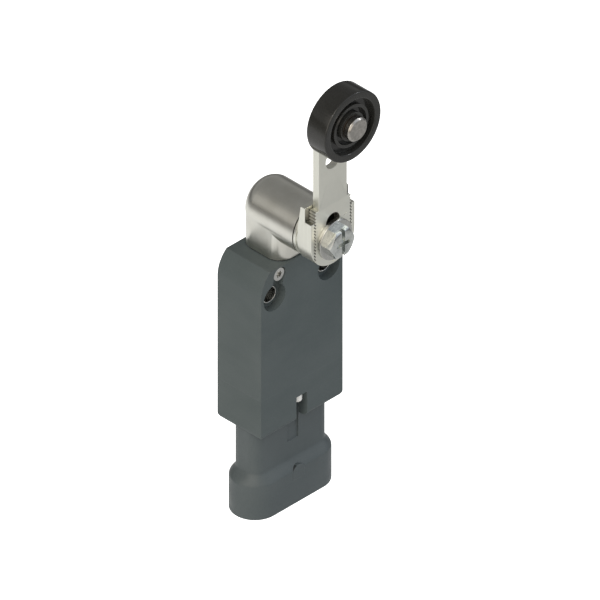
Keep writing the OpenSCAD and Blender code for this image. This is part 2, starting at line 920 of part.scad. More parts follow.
module clamp_screw() {
  face_y = lever_front_y - washer_t - clamp_head_t;
  drive_w = 1.2;
  drive_depth = 1.3;
  cross_l = 4.6;
  corner_r = clamp_af / 2 / cos(30);
  chamfer = 0.5;
  color("#c8c8c0")
    difference() {
      union() {
        intersection() {
          translate([0, face_y + clamp_head_t, axis_z])
            rotate([90, 0, 0])
              cylinder(r = corner_r, h = clamp_head_t, $fn = 6);
          turned(face_y + clamp_head_t, axis_z)
            polygon([[0, 0], [corner_r, 0], [corner_r, clamp_head_t - chamfer],
                     [corner_r - 2 * chamfer, clamp_head_t], [0, clamp_head_t]]);
        }
        bar(clamp_r, clamp_tip_y, clamp_tip_y - face_y - clamp_head_t / 2, 0, axis_z);
      }
      translate([-drive_w / 2, face_y - 1, axis_z - clamp_af])
        cube([drive_w, 1 + drive_depth, 2 * clamp_af]);
      translate([-cross_l / 2, face_y - 1, axis_z - drive_w / 2])
        cube([cross_l, 1 + drive_depth, drive_w]);
    }
}

// ---- Roller ----

// Half the section of the roller, radius along X and width along Y
module roller_section() {
  translate([roller_r - rim_t / 2, roller_w / 2])
    round_rect(rim_t, roller_w, roller_edge_r);
  translate([roller_bush_r, (roller_w - web_t) / 2])
    square([roller_r - rim_t - roller_bush_r + roller_edge_r, web_t]);
  translate([roller_bush_r, nave_low])
    square([nave_wall, roller_w - 2 * nave_low]);
  translate([rib_r - rib_w, rib_low])
    square([rib_w, roller_w - 2 * rib_low]);
}

module roller() {
  color("#353533")
    turned(roller_rear_y, roller_z)
      roller_section();
}

module roller_bush() {
  color("#a9763f")
    sleeve(roller_bush_r, pin_r + run_gap, roller_rear_y, roller_w, 0, roller_z);
}

module roller_pin() {
  chamfer = 0.5;
  head_rear_y = roller_front_y - end_gap;
  shank_len = lever_rear_y - head_rear_y;
  color("#8c8880")
    union() {
      bar(pin_r, lever_rear_y, shank_len + eps, 0, roller_z);
      bar(pin_head_r, lever_rear_y + rivet_t, rivet_t, 0, roller_z);
      turned(head_rear_y, roller_z)
        polygon([[0, 0], [pin_head_r, 0], [pin_head_r, pin_head_t - chamfer],
                 [pin_head_r - chamfer, pin_head_t], [0, pin_head_t]]);
    }
}

module spacer_washer() {
  color("silver")
    sleeve(roller_bush_r + 1, pin_r + fit_gap, lever_front_y, spacer_t, 0, roller_z);
}

// ---- Plunger and contacts ----

module plunger() {
  color("#d8d4c8")
    union() {
      post(pad_r, pad_top_z - pad_t, pad_top_z);
      post(plunger_r, plunger_bot_z, pad_top_z - pad_t + eps);
    }
}

module plunger_spring() {
  wire_r = 0.27;
  color("#8a8a8a")
    translate([0, mid_y, guide_floor_z])
      coil(plunger_r + 2 * wire_r + slide_gap, wire_r, pad_top_z - pad_t - guide_floor_z, 3.5);
}

// Rubber bellows disc that seals round the plunger
module diaphragm() {
  skin_t = 0.5;
  bead_w = 1;
  color("#252525")
    translate([0, mid_y, diaphragm_z])
      rotate_extrude() {
        translate([plunger_r + slide_gap, 0])
          square([diaphragm_r - plunger_r - slide_gap, skin_t]);
        translate([diaphragm_r - bead_w, 0])
          square([bead_w, diaphragm_t]);
        translate([plunger_r + slide_gap, 0])
          square([skin_t, diaphragm_t]);
      }
}

module switch_block() {
  open_w = block_w - 2 * block_wall;
  color("#c9b99a")
    difference() {
      block(block_w, block_d, block_bot_z, block_top_z, cavity_r);
      translate([-open_w / 2, -body_d, block_bot_z + block_wall])
        cube([open_w, mid_y + block_d / 2 - block_wall + body_d,
              block_top_z - block_roof - block_bot_z - block_wall]);
      translate([-block_w, mid_y - block_d / 2 - 1, block_bot_z - 1])
        cube([2 * block_w, 1 + cover_t + part_gap / 2, body_h]);
      post(plunger_r + slide_gap, block_top_z - block_roof - 1, block_top_z + 1);
      each_leg(nc_leg_y)
        block_slot();
      each_leg(no_leg_y)
        block_slot();
    }
}

// The slot in the floor of the switch block that one contact leg passes through
module block_slot() {
  translate([-strip_t - fit_gap, -leg_w / 2 - fit_gap, block_bot_z - 1])
    cube([strip_t + 3 * fit_gap, leg_w + 2 * fit_gap, block_wall + 2]);
}

module block_cover() {
  color("#bfae8c")
    translate([-block_w / 2 + cavity_r, mid_y - block_d / 2, block_bot_z + part_gap])
      cube([block_w - 2 * cavity_r, cover_t, block_top_z - block_bot_z - 2 * part_gap]);
}

// One pair of fixed contacts: a strip, its leg down to the board and a rivet.
// The rivet points down if down is 1, and up if it is -1
module fixed_contacts(strip_z, leg_y, down) {
  strip_end_x = contact_x - rivet_r - 0.2;
  strip_l = leg_x - fit_gap - strip_end_x;
  leg_bot_z = board_z - 0.4;
  near_y = min(leg_y - leg_w / 2, mid_y - rivet_r);
  far_y = max(leg_y + leg_w / 2, mid_y + rivet_r);
  for (side = [0, 1])
    mirror([side, 0, 0]) {
      translate([strip_end_x, near_y, strip_z])
        cube([strip_l, far_y - near_y, strip_t]);
      translate([leg_x - fit_gap - strip_t, leg_y - leg_w / 2, leg_bot_z])
        cube([strip_t, leg_w, strip_z - leg_bot_z + eps]);
      post(rivet_r, strip_z + (down > 0 ? -rivet_h : strip_t - eps),
           strip_z + (down > 0 ? eps : strip_t + rivet_h), contact_x);
    }
}

module nc_fixed_contacts() {
  color("#b87333")
    fixed_contacts(nc_rivet_z + rivet_h, nc_leg_y, 1);
}

module no_fixed_contacts() {
  color("#b87333")
    fixed_contacts(no_rivet_z - rivet_h - strip_t, no_leg_y, -1);
}

// Sliding carrier with a window for each contact bridge
module contact_carriage() {
  color("#e6e2d8")
    difference() {
      translate([-carriage_w / 2, mid_y - carriage_d / 2, carriage_bot_z])
        cube([carriage_w, carriage_d, carriage_top_z - carriage_bot_z]);
      for (z = [nc_window_z, no_window_z])
        translate([-carriage_w, mid_y - window_d / 2, z - window_h])
          cube([2 * carriage_w, window_d, window_h]);
    }
}

// A contact bridge whose plate has its upper face at plate_z.
// Its rivets point up if up is 1, and down if it is -1
module bridge(plate_z, up) {
  color("#c08040")
    union() {
      translate([-bridge_x, mid_y - bridge_d / 2, plate_z - strip_t])
        cube([2 * bridge_x, bridge_d, strip_t]);
      for (side = [-1, 1])
        post(rivet_r - 0.1, plate_z - (up > 0 ? eps : strip_t + bridge_rivet_h),
             plate_z + (up > 0 ? bridge_rivet_h : eps - strip_t), side * contact_x);
    }
}

module nc_bridge() {
  bridge(nc_plate_z, 1);
}

module no_bridge() {
  bridge(no_plate_z, -1);
}

module contact_springs() {
  wire_r = 0.2;
  mean_r = bridge_d / 2 - wire_r;
  nc_low_z = nc_window_z - window_h;
  color("#9a9a9a") {
    translate([0, mid_y, nc_low_z])
      coil(mean_r, wire_r, nc_plate_z - strip_t - nc_low_z, 3);
    translate([0, mid_y, no_plate_z])
      coil(mean_r, wire_r, no_window_z - no_plate_z, 3);
  }
}

module carriage_spring() {
  low_z = block_bot_z + block_wall;
  color("#8a8a8a")
    translate([0, mid_y, low_z])
      coil(carriage_w / 2 - 0.7, 0.25, carriage_bot_z - low_z, 4);
}

housing();
lower_cap();
cap_seal();
latch_pin();
mounting_bushes();
connector_body();
connector_pins();
connector_board();
head_body();
head_gasket();
head_screws();
lever_shaft();
shaft_bush();
shaft_seal();
bush_circlip();
shaft_clip();
cam();
lever_spring();
hub();
lever_plate();
clamp_washer();
clamp_screw();
roller();
roller_bush();
roller_pin();
spacer_washer();
plunger();
plunger_spring();
diaphragm();
switch_block();
block_cover();
nc_fixed_contacts();
no_fixed_contacts();
contact_carriage();
nc_bridge();
no_bridge();
contact_springs();
carriage_spring();
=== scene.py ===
"""Roller-lever limit switch: the finished pieces, their materials and a plain studio."""
import json
import math

import bmesh
import bpy
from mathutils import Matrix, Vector


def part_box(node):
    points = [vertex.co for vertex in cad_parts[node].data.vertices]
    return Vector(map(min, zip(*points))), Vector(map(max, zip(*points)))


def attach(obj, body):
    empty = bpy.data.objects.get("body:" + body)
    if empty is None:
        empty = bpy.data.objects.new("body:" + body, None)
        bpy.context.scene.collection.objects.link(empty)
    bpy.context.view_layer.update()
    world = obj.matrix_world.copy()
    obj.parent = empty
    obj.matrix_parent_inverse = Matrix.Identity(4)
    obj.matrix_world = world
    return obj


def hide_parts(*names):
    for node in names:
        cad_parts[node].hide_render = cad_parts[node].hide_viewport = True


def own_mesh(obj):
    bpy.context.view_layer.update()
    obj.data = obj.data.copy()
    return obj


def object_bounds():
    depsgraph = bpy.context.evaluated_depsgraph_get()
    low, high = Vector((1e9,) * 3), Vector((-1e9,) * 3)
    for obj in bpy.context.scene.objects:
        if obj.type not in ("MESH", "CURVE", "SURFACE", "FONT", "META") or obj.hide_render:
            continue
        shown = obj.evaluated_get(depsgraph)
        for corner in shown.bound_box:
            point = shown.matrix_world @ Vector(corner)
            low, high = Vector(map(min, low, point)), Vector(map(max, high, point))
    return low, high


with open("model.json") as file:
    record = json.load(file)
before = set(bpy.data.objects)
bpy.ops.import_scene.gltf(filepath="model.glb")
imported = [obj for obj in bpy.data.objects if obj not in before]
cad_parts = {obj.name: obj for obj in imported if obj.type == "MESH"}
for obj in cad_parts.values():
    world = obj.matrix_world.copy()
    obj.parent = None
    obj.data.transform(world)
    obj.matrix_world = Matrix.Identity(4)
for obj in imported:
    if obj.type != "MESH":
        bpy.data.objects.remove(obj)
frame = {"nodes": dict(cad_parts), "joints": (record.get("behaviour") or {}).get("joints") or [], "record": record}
cad_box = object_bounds()
MM = 0.001

# ---------------------------------------------------------------- facts taken from the frame
joints = {joint["name"]: joint for joint in frame["joints"]}
shaft_z = joints["lever_swing"]["pos_m"][2]
roller_z = joints["roller_spin"]["pos_m"][2]
slot_of = {part["node"]: part["material_slot"] for part in frame["record"]["subparts"]}
body_of = {node: body for body, members in frame["record"]["behaviour"]["bodies"].items() for node in members}


# ---------------------------------------------------------------- shader helpers
def join(tree, source, target):
    """Links one socket to another, or sets a plain value."""
    if isinstance(source, bpy.types.NodeSocket):
        tree.links.new(source, target)
    else:
        target.default_value = source


def math_node(tree, operation, *values, clamp=False):
    """One step of arithmetic on values or sockets."""
    node = tree.nodes.new("ShaderNodeMath")
    node.operation = operation
    node.use_clamp = clamp
    for value, socket in zip(values, node.inputs):
        join(tree, value, socket)
    return node.outputs[0]


def vector_node(tree, operation, *vectors):
    """One step of vector arithmetic that gives a plain number."""
    node = tree.nodes.new("ShaderNodeVectorMath")
    node.operation = operation
    for vector, socket in zip(vectors, node.inputs):
        join(tree, vector, socket)
    return node.outputs["Value"]


def axes_of(tree, vector):
    """The x, y and z of a vector."""
    node = tree.nodes.new("ShaderNodeSeparateXYZ")
    join(tree, vector, node.inputs[0])
    return node.outputs


def mix_colour(tree, share, first, second):
    """The first colour at a share of 0, the second at 1."""
    node = tree.nodes.new("ShaderNodeMix")
    node.data_type = "RGBA"
    # The colour sockets share their names with the number sockets, so they are picked by place
    for value, socket in ((share, node.inputs[0]), (first, node.inputs[6]), (second, node.inputs[7])):
        join(tree, value, socket)
    return node.outputs[2]


def spread(tree, value, low, high, to_low, to_high):
    """Maps a value from one range to another, smoothly and clamped."""
    node = tree.nodes.new("ShaderNodeMapRange")
    node.interpolation_type = "SMOOTHSTEP"
    for item, socket in zip((value, low, high, to_low, to_high), node.inputs):
        join(tree, item, socket)
    return node.outputs[0]


def noise(tree, vector, scale, detail, roughness=0.5):
    """Soft random patches from 0 to 1."""
    node = tree.nodes.new("ShaderNodeTexNoise")
    join(tree, vector, node.inputs["Vector"])
    join(tree, scale, node.inputs["Scale"])
    node.inputs["Detail"].default_value = detail
    node.inputs["Roughness"].default_value = roughness
    return node.outputs["Fac"]


def place(tree):
    """The point on the piece, in metres, which moves with the piece."""
    return tree.nodes.new("ShaderNodeTexCoord").outputs["Object"]


def stretched(tree, vector, x, y, z):
    """The vector scaled along each axis."""
    node = tree.nodes.new("ShaderNodeMapping")
    join(tree, vector, node.inputs["Vector"])
    node.inputs["Scale"].default_value = (x, y, z)
    return node.outputs[0]


# ---------------------------------------------------------------- shader groups
def new_group(name, inputs, outputs):
    """An empty shader group with its named inputs (name, default) and outputs (name, kind)."""
    group = bpy.data.node_groups.new(name, "ShaderNodeTree")
    kinds = {float: "NodeSocketFloat", tuple: "NodeSocketColor"}
    for label, default in inputs:
        socket = group.interface.new_socket(label, in_out="INPUT", socket_type=kinds[type(default)])
        socket.default_value = default
    for label, kind in outputs:
        group.interface.new_socket(label, in_out="OUTPUT", socket_type=kinds[kind])
    return group, group.nodes.new("NodeGroupInput").outputs, group.nodes.new("NodeGroupOutput").inputs


def edge_wear_and_highlight_group():
    """Mask of the outer edges, a little broken up, where wear and a painted highlight lighten the colour."""
    group, given, made = new_group(
        "edge wear and painted highlight",
        [("Reach", 0.0004), ("Amount", 1.0), ("Break up", 0.5)],
        [("Mask", float)])
    bevel = group.nodes.new("ShaderNodeBevel")
    bevel.samples = 4
    join(group, given["Reach"], bevel.inputs["Radius"])
    surface = group.nodes.new("ShaderNodeNewGeometry")
    agreement = vector_node(group, "DOT_PRODUCT", bevel.outputs[0], surface.outputs["Normal"])
    bend = spread(group, agreement, low=0.995, high=0.85, to_low=0.0, to_high=1.0)
    patches = noise(group, place(group), scale=420.0, detail=4.0)
    wear_and_highlight = spread(group, patches, low=0.35, high=0.65, to_low=0.0, to_high=1.0)
    kept = math_node(group, "SUBTRACT", 1.0, math_node(group, "MULTIPLY", given["Break up"], wear_and_highlight))
    mask = math_node(group, "MULTIPLY", math_node(group, "MULTIPLY", bend, kept), given["Amount"], clamp=True)
    join(group, mask, made["Mask"])
    return group


def moulded_group():
    """Spark-eroded skin of a moulding: fine grain, slow colour drift and faint flow marks."""
    pale, black = (0.32, 0.33, 0.32, 1.0), (0.0, 0.0, 0.0, 1.0)
    group, given, made = new_group(
        "moulded skin",
        [("Colour", (0.1, 0.1, 0.1, 1.0)), ("Grain size", 2600.0), ("Drift", 0.08), ("Roughness", 0.5)],
        [("Colour", tuple), ("Roughness", float), ("Height", float)])
    point = place(group)
    grain = noise(group, point, given["Grain size"], detail=2.0, roughness=0.6)
    drift = noise(group, point, scale=55.0, detail=3.0)
    flow = noise(group, stretched(group, point, 60.0, 60.0, 260.0), scale=1.0, detail=2.0)

    lighter = mix_colour(group, given["Drift"], given["Colour"], pale)
    darker = mix_colour(group, given["Drift"], given["Colour"], black)
    patches = math_node(group, "ADD", math_node(group, "MULTIPLY", drift, 0.7),
                        math_node(group, "MULTIPLY", grain, 0.3))
    share = spread(group, patches, low=0.3, high=0.7, to_low=0.0, to_high=1.0)
    join(group, mix_colour(group, share, darker, lighter), made["Colour"])

    flow_marks = spread(group, flow, low=0.3, high=0.7, to_low=-0.05, to_high=0.05)
    rough = math_node(group, "ADD", given["Roughness"], flow_marks)
    rough = math_node(group, "ADD", rough, math_node(group, "MULTIPLY", grain, 0.04))
    join(group, rough, made["Roughness"])
    join(group, grain, made["Height"])
    return group


def metal_group():
    """Plated or rolled metal: fine directional scratches, soft mottling and an uneven gloss."""
    group, given, made = new_group(
        "worked metal",
        [("Colour", (0.6, 0.6, 0.55, 1.0)), ("Shade", (0.4, 0.4, 0.36, 1.0)), ("Across", 900.0),
         ("Along", 60.0), ("Mottle", 90.0), ("Roughness", 0.3), ("Gloss drift", 0.08)],
        [("Colour", tuple), ("Roughness", float), ("Height", float)])
    point = place(group)
    streak_at = group.nodes.new("ShaderNodeCombineXYZ")
    for axis, count, socket in zip(axes_of(group, point), ("Across", "Across", "Along"), streak_at.inputs):
        join(group, math_node(group, "MULTIPLY", axis, given[count]), socket)
    streaks = noise(group, streak_at.outputs[0], scale=1.0, detail=3.0, roughness=0.65)
    mottle = noise(group, point, given["Mottle"], detail=4.0)
    share = math_node(group, "ADD", math_node(group, "MULTIPLY", mottle, 0.6),
                      math_node(group, "MULTIPLY", streaks, 0.4))

    tint = spread(group, share, low=0.35, high=0.65, to_low=0.0, to_high=1.0)
    join(group, mix_colour(group, tint, given["Shade"], given["Colour"]), made["Colour"])

    swing = math_node(group, "MULTIPLY", given["Gloss drift"], math_node(group, "SUBTRACT", share, 0.5))
    swing = math_node(group, "MULTIPLY", swing, 2.0)
    join(group, math_node(group, "ADD", given["Roughness"], swing, clamp=True), made["Roughness"])
    join(group, streaks, made["Height"])
    return group


EDGE_WEAR_AND_HIGHLIGHT = edge_wear_and_highlight_group()
MOULDED = moulded_group()
METAL = metal_group()


# ---------------------------------------------------------------- materials
def new_material(name):
    """A material with its tree and its shader."""
    material = bpy.data.materials.new(name)
    material.use_nodes = True
    tree = material.node_tree
    return material, tree, tree.nodes["Principled BSDF"]


def use_group(tree, group, **values):
    """Places a shader group and sets its inputs; underscores stand for spaces in their names."""
    node = tree.nodes.new("ShaderNodeGroup")
    node.node_tree = group
    for label, value in values.items():
        node.inputs[label.replace("_", " ")].default_value = value
    return node.outputs


def bump(tree, shader, height, depth):
    """Raises the surface by a height map, depth metres from its lowest to its highest point."""
    node = tree.nodes.new("ShaderNodeBump")
    node.inputs["Strength"].default_value = 1.0
    node.inputs["Distance"].default_value = depth
    join(tree, height, node.inputs["Height"])
    join(tree, node.outputs[0], shader.inputs["Normal"])


def shade_and_seam_share(tree):
    """How strongly a surface is darkened: painted shade in corners, gaps and between teeth, and a dark seam line.
    """
    node = tree.nodes.new("ShaderNodeAttribute")
    node.attribute_name = "painted_shade_and_seam"
    return node.outputs["Fac"]


def dress(tree, shader, skin, edge_marks, edge_colour, shade_and_seam_colour, depth):
    """Puts a skin on the shader, with its edges lightened by wear and a painted highlight, its painted shade and
    dark seam, and its relief.
    """
    # edges lightened: partly wear, partly a painted highlight
    wear_and_highlight = mix_colour(tree, edge_marks["Mask"], skin["Colour"], (*edge_colour, 1.0))
    # painted shade, and the dark seam line, darken the colour where the attribute marks it
    darkened = mix_colour(tree, shade_and_seam_share(tree), wear_and_highlight, (*shade_and_seam_colour, 1.0))
    join(tree, darkened, shader.inputs["Base Color"])
    join(tree, skin["Roughness"], shader.inputs["Roughness"])
    bump(tree, shader, skin["Height"], depth)


def moulded(name, colour, edge_colour, roughness, grain_depth=0.02 * MM, edge=0.35, specular=0.5):
    """A moulded plastic or rubber, a little paler at its edges, partly from wear and partly as a painted highlight.
    """
    material, tree, shader = new_material(name)
    skin = use_group(tree, MOULDED, Colour=(*colour, 1.0), Grain_size=2600.0, Roughness=roughness, Drift=0.05)
    edge_marks = use_group(tree, EDGE_WEAR_AND_HIGHLIGHT, Reach=0.3 * MM, Amount=edge, Break_up=0.4)
    # the near-black here is the colour of the painted shade, and of the dark seam, on plastics
    dress(tree, shader, skin, edge_marks, edge_colour, (0.01, 0.011, 0.012), grain_depth)
    shader.inputs["Specular IOR Level"].default_value = specular
    return material


def worked_metal(name, colour, shade, roughness, across=900.0, along=60.0, mottle=90.0, depth=0.004 * MM,
                 gloss_drift=0.08):
    """A metal that drifts between a colour and a shade; across, along and mottle count marks in a metre."""
    material, tree, shader = new_material(name)
    skin = use_group(tree, METAL, Colour=(*colour, 1.0), Shade=(*shade, 1.0), Across=across, Along=along,
                     Mottle=mottle, Roughness=roughness, Gloss_drift=gloss_drift)
    edge_marks = use_group(tree, EDGE_WEAR_AND_HIGHLIGHT, Reach=0.25 * MM, Amount=0.5, Break_up=0.3)
    # edges brighter than the metal: partly wear, partly a painted highlight
    bright = tuple(min(1.0, 1.25 * part) for part in colour)
    # the dark colour here is the colour of the painted shade on metals
    dress(tree, shader, skin, edge_marks, bright, (0.09, 0.09, 0.08), depth)
    shader.inputs["Metallic"].default_value = 1.0
    return material


MATERIALS = {
    "glass_filled_plastic": moulded(
        "glass-filled housing plastic", (0.0735, 0.0915, 0.0945), (0.12, 0.135, 0.138), 0.52, specular=0.22),
    "connector_plastic": moulded(
        "connector plastic", (0.070, 0.086, 0.091), (0.12, 0.135, 0.138), 0.38, specular=0.3),
    "black_rubber": moulded(
        "sealing rubber", (0.012, 0.012, 0.012), (0.03, 0.03, 0.03), 0.7),
    "white_plastic": moulded(
        "white peg plastic", (0.80, 0.80, 0.78), (0.9, 0.9, 0.88), 0.35),
    "block_plastic": moulded(
        "switch block plastic", (0.55, 0.48, 0.36), (0.7, 0.62, 0.5), 0.5),
    "board_laminate": moulded(
        "board laminate", (0.02, 0.12, 0.04), (0.1, 0.3, 0.12), 0.35),
    # the roller's edges are lightened strongly, a painted highlight on its rims and rings
    "roller_plastic": moulded(
        "roller plastic", (0.018, 0.018, 0.0165), (0.12, 0.12, 0.115), 0.13, edge=0.5,
        grain_depth=0.001 * MM, specular=0.34),
    "plated_steel": worked_metal(
        "bright plated steel", (0.62, 0.62, 0.60), (0.50, 0.50, 0.48), 0.26),
    "screw_steel": worked_metal(
        "screw steel", (0.60, 0.60, 0.58), (0.45, 0.45, 0.44), 0.28),
    "contact_brass": worked_metal(
        "contact brass", (0.80, 0.60, 0.30), (0.65, 0.45, 0.2), 0.25),
    "nickel_die_cast": worked_metal(
        "satin nickel die casting", (0.74, 0.735, 0.68), (0.68, 0.67, 0.61), 0.30,
        across=260.0, along=200.0, mottle=140.0, gloss_drift=0.04),
    "hub_die_cast": worked_metal(
        "hub die casting", (0.80, 0.80, 0.73), (0.74, 0.74, 0.67), 0.34, gloss_drift=0.04),
    # bronze darkened well below its own colour: painted shade, as the bush sits in shadow round the pin
    "bush_bronze": worked_metal(
        "sintered bronze", (0.14, 0.11, 0.085), (0.09, 0.07, 0.055), 0.42),
    "spring_steel": worked_metal(
        "spring steel", (0.4, 0.4, 0.4), (0.3, 0.3, 0.3), 0.3),
    "stainless_plate": worked_metal(
        "rolled stainless plate", (0.76, 0.76, 0.69), (0.73, 0.73, 0.66), 0.38,
        across=700.0, along=500.0, mottle=120.0, depth=0.001 * MM, gloss_drift=0.03),
    "washer_steel": worked_metal(
        "washer steel", (0.66, 0.66, 0.63), (0.56, 0.56, 0.54), 0.27),
    "clamp_screw_steel": worked_metal(
        "clamp screw steel", (0.66, 0.68, 0.66), (0.42, 0.44, 0.43), 0.18,
        across=500.0, along=500.0, mottle=420.0, gloss_drift=0.1),
    "pin_steel": worked_metal(
        "burnished pin steel", (0.46, 0.44, 0.41), (0.30, 0.29, 0.27), 0.30,
        across=1500.0, along=1500.0, mottle=900.0),
}


# ---------------------------------------------------------------- pieces
SHARP_ANGLE = math.radians(28.0)


def finish_piece(piece, node):
    """Gives a piece its material and its body, and hides the node that it stands for."""
    piece.data.materials.clear()
    piece.data.materials.append(MATERIALS[slot_of[node]])
    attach(piece, body_of[node])
    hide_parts(node)


def smooth(piece):
    """Smooth shading on every face."""
    for face in piece.data.polygons:
        face.use_smooth = True


def round_off(piece, width):
    """Rounds the sharp edges of a piece."""
    piece.data.set_sharp_from_angle(angle=SHARP_ANGLE)
    rounding = piece.modifiers.new("rounded edges", "BEVEL")
    rounding.limit_method = "ANGLE"
    rounding.angle_limit = SHARP_ANGLE
    rounding.width = width
    rounding.segments = 3
    rounding.harden_normals = True
    rounding.miter_outer = "MITER_ARC"


def copy_of(node):
    """A separate piece with the shape of the node."""
    piece = bpy.data.objects.new(node + "_finished", frame["nodes"][node].data.copy())
    bpy.context.scene.collection.objects.link(piece)
    return piece


def softened(node, width, whole_faces):
    """The node's own shape with its sharp edges rounded; whole_faces joins flat triangles into faces."""
    piece = copy_of(node)
    work = bmesh.new()
    work.from_mesh(piece.data)
    bmesh.ops.remove_doubles(work, verts=work.verts, dist=0.002 * MM)
    if whole_faces:
        bmesh.ops.dissolve_limit(work, angle_limit=math.radians(0.6), verts=work.verts, edges=work.edges)
    work.to_mesh(piece.data)
    work.free()
    smooth(piece)
    round_off(piece, width)
    finish_piece(piece, node)
    return piece


def darken_faces(piece, is_darkened, depth_at):
    """Darkens faces, chosen by centre and normal, with painted shade or a dark seam line; depth_at grades them from
    0 to 1.
    """
    marks = piece.data.attributes.new("painted_shade_and_seam", "FLOAT", "CORNER")
    for face in piece.data.polygons:
        if is_darkened(face.center, face.normal):
            for corner in face.loop_indices:
                at = piece.data.vertices[piece.data.loops[corner].vertex_index].co
                marks.data[corner].value = depth_at(at)


# ---- Connector, in millimetres: the neck flows into the skirt. Heights are above the skirt's rim.
NECK = (13.55, 4.7, 3.2)          # half width, half depth, corner radius
SKIRT_HALF_DEPTH = 6.84
SKIRT_MIDDLE = 5.0
SHOULDER_BOTTOM, SHOULDER_TOP = 10.1, 13.5
SHOULDER_SWELL = 0.85             # below 1 the shoulder widens sooner
KEYWAY_HALF = 2.0
KEYWAY_DEPTH = 0.75
KEYWAY_SLOPE_TOP = 26.5
KEYWAY_END_Z = -51.6
SOCKET_WALL = 1.5
SOCKET_DEPTH = 10.3
LUG_HALF = 2.15
LUG_BOTTOM, LUG_TOP = 7.5, 11.85
LUG_FRONT, LUG_BACK = -6.9, -5.6  # from the middle of the connector
CORNER_STEPS = 12
SHOULDER_STEPS = 12


def oval_ring(middle_y, half_x, half_y, radius, z, dent=0.0):
    """Points round a rectangle with round corners, with a keyway of the given depth in its front."""
    ring = []
    for quarter, (side_x, side_y) in enumerate(((1, 1), (-1, 1), (-1, -1), (1, -1))):
        if quarter == 3:
            ring += [(-KEYWAY_HALF, -half_y), (-KEYWAY_HALF, dent - half_y),
                     (KEYWAY_HALF, dent - half_y), (KEYWAY_HALF, -half_y)]
        for step in range(CORNER_STEPS + 1):
            angle = math.radians(90 * (quarter + step / CORNER_STEPS))
            ring.append((side_x * (half_x - radius) + radius * math.cos(angle),
                         side_y * (half_y - radius) + radius * math.sin(angle)))
    return [Vector((x * MM, (middle_y + y) * MM, z * MM)) for x, y in ring]


def wall_between(work, first, second):
    """A band of faces between two loops of points."""
    for i in range(len(first)):
        j = (i + 1) % len(first)
        work.faces.new((first[i], first[j], second[j], second[i]))


def shell_rings(low, high, middle_y):
    """The sections of the plug housing, from the top of the neck down the outside and up into the socket."""
    skirt = (high.x, SKIRT_HALF_DEPTH, SKIRT_HALF_DEPTH)
    neck_end, skirt_start = low.z + SHOULDER_TOP, low.z + SHOULDER_BOTTOM
    levels = [(0.0, high.z, KEYWAY_DEPTH), (0.0, low.z + KEYWAY_SLOPE_TOP, KEYWAY_DEPTH),
              (0.0, KEYWAY_END_Z + 0.2, 0.5 * KEYWAY_DEPTH), (0.0, KEYWAY_END_Z, 0.0)]
    for step in range(SHOULDER_STEPS + 1):
        t = step / SHOULDER_STEPS
        share = (t * t * (3 - 2 * t)) ** SHOULDER_SWELL
        levels.append((share, neck_end + (skirt_start - neck_end) * t, 0.0))
    levels += [(1.0, low.z + SKIRT_MIDDLE, 0.0), (1.0, low.z, 0.0)]
    rings = [oval_ring(middle_y, *(a + (b - a) * share for a, b in zip(NECK, skirt)), z, dent)
             for share, z, dent in levels]
    hollow = [size - SOCKET_WALL for size in skirt]
    return rings + [oval_ring(middle_y, *hollow, z) for z in (low.z, low.z + SOCKET_DEPTH)]


def lug_outline(lug_low, lug_top):
    """The keying lug from the front: square below, round above."""
    arch = [(LUG_HALF * math.cos(math.radians(a)), lug_top - LUG_HALF + LUG_HALF * math.sin(math.radians(a)))
            for a in range(0, 181, 10)]
    return [(LUG_HALF, lug_low), *arch, (-LUG_HALF, lug_low)]


def connector_shell():
    """The plug housing: neck with its keyway, flowing shoulder, skirt, lug and hollow socket."""
    low, high = (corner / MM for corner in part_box("connector_body"))
    board_low, board_high = (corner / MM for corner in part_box("connector_board"))
    middle_y = (board_low.y + board_high.y) / 2
    lug_low, lug_top = low.z + LUG_BOTTOM, low.z + LUG_TOP

    work = bmesh.new()
    loops = [[work.verts.new(point) for point in ring] for ring in shell_rings(low, high, middle_y)]
    for upper, lower in zip(loops, loops[1:]):
        wall_between(work, upper, lower)
    work.faces.new(loops[0])
    work.faces.new(loops[-1])
    front, back = ([work.verts.new((x * MM, (middle_y + y) * MM, z * MM)) for x, z in lug_outline(lug_low, lug_top)]
                   for y in (LUG_FRONT, LUG_BACK))
    work.faces.new(front)
    work.faces.new(back)
    wall_between(work, front, back)
    bmesh.ops.remove_doubles(work, verts=work.verts, dist=0.001 * MM)
    bmesh.ops.recalc_face_normals(work, faces=work.faces)

    mesh = bpy.data.meshes.new("connector_shell")
    work.to_mesh(mesh)
    work.free()
    piece = bpy.data.objects.new("connector_shell", mesh)
    bpy.context.scene.collection.objects.link(piece)
    smooth(piece)

    def in_shade(centre, normal):
        """The left and lower walls of the lug, which get painted shade."""
        x, y, z = centre / MM
        on_lug = y < middle_y + LUG_FRONT + 1.4 and abs(x) < LUG_HALF + 0.1 and lug_low - 0.1 < z < lug_top + 0.1
        return on_lug and abs(normal.y) < 0.5 and min(normal.x, normal.z) < -0.3

    # painted shade on the lug's left and lower walls
    darken_faces(piece, in_shade, lambda at: 0.75)
    round_off(piece, 0.15 * MM)
    finish_piece(piece, "connector_body")


connector_shell()

# ---- Outer pieces, each with the width of its rounded edges
SOFT_EDGES = {
    "housing": 0.20 * MM, "lower_cap": 0.20 * MM, "head_body": 0.20 * MM,
    "hub": 0.06 * MM, "lever_plate": 0.06 * MM, "clamp_washer": 0.20 * MM, "clamp_screw": 0.15 * MM,
    "roller": 0.38 * MM, "roller_pin": 0.12 * MM, "mounting_bushes": 0.10 * MM, "head_screws": 0.10 * MM,
    "latch_pin": 0.05 * MM,
}
TOOTHED = ("lever_plate", "hub")
finished = {node: softened(node, width, whole_faces=node not in TOOTHED) for node, width in SOFT_EDGES.items()}

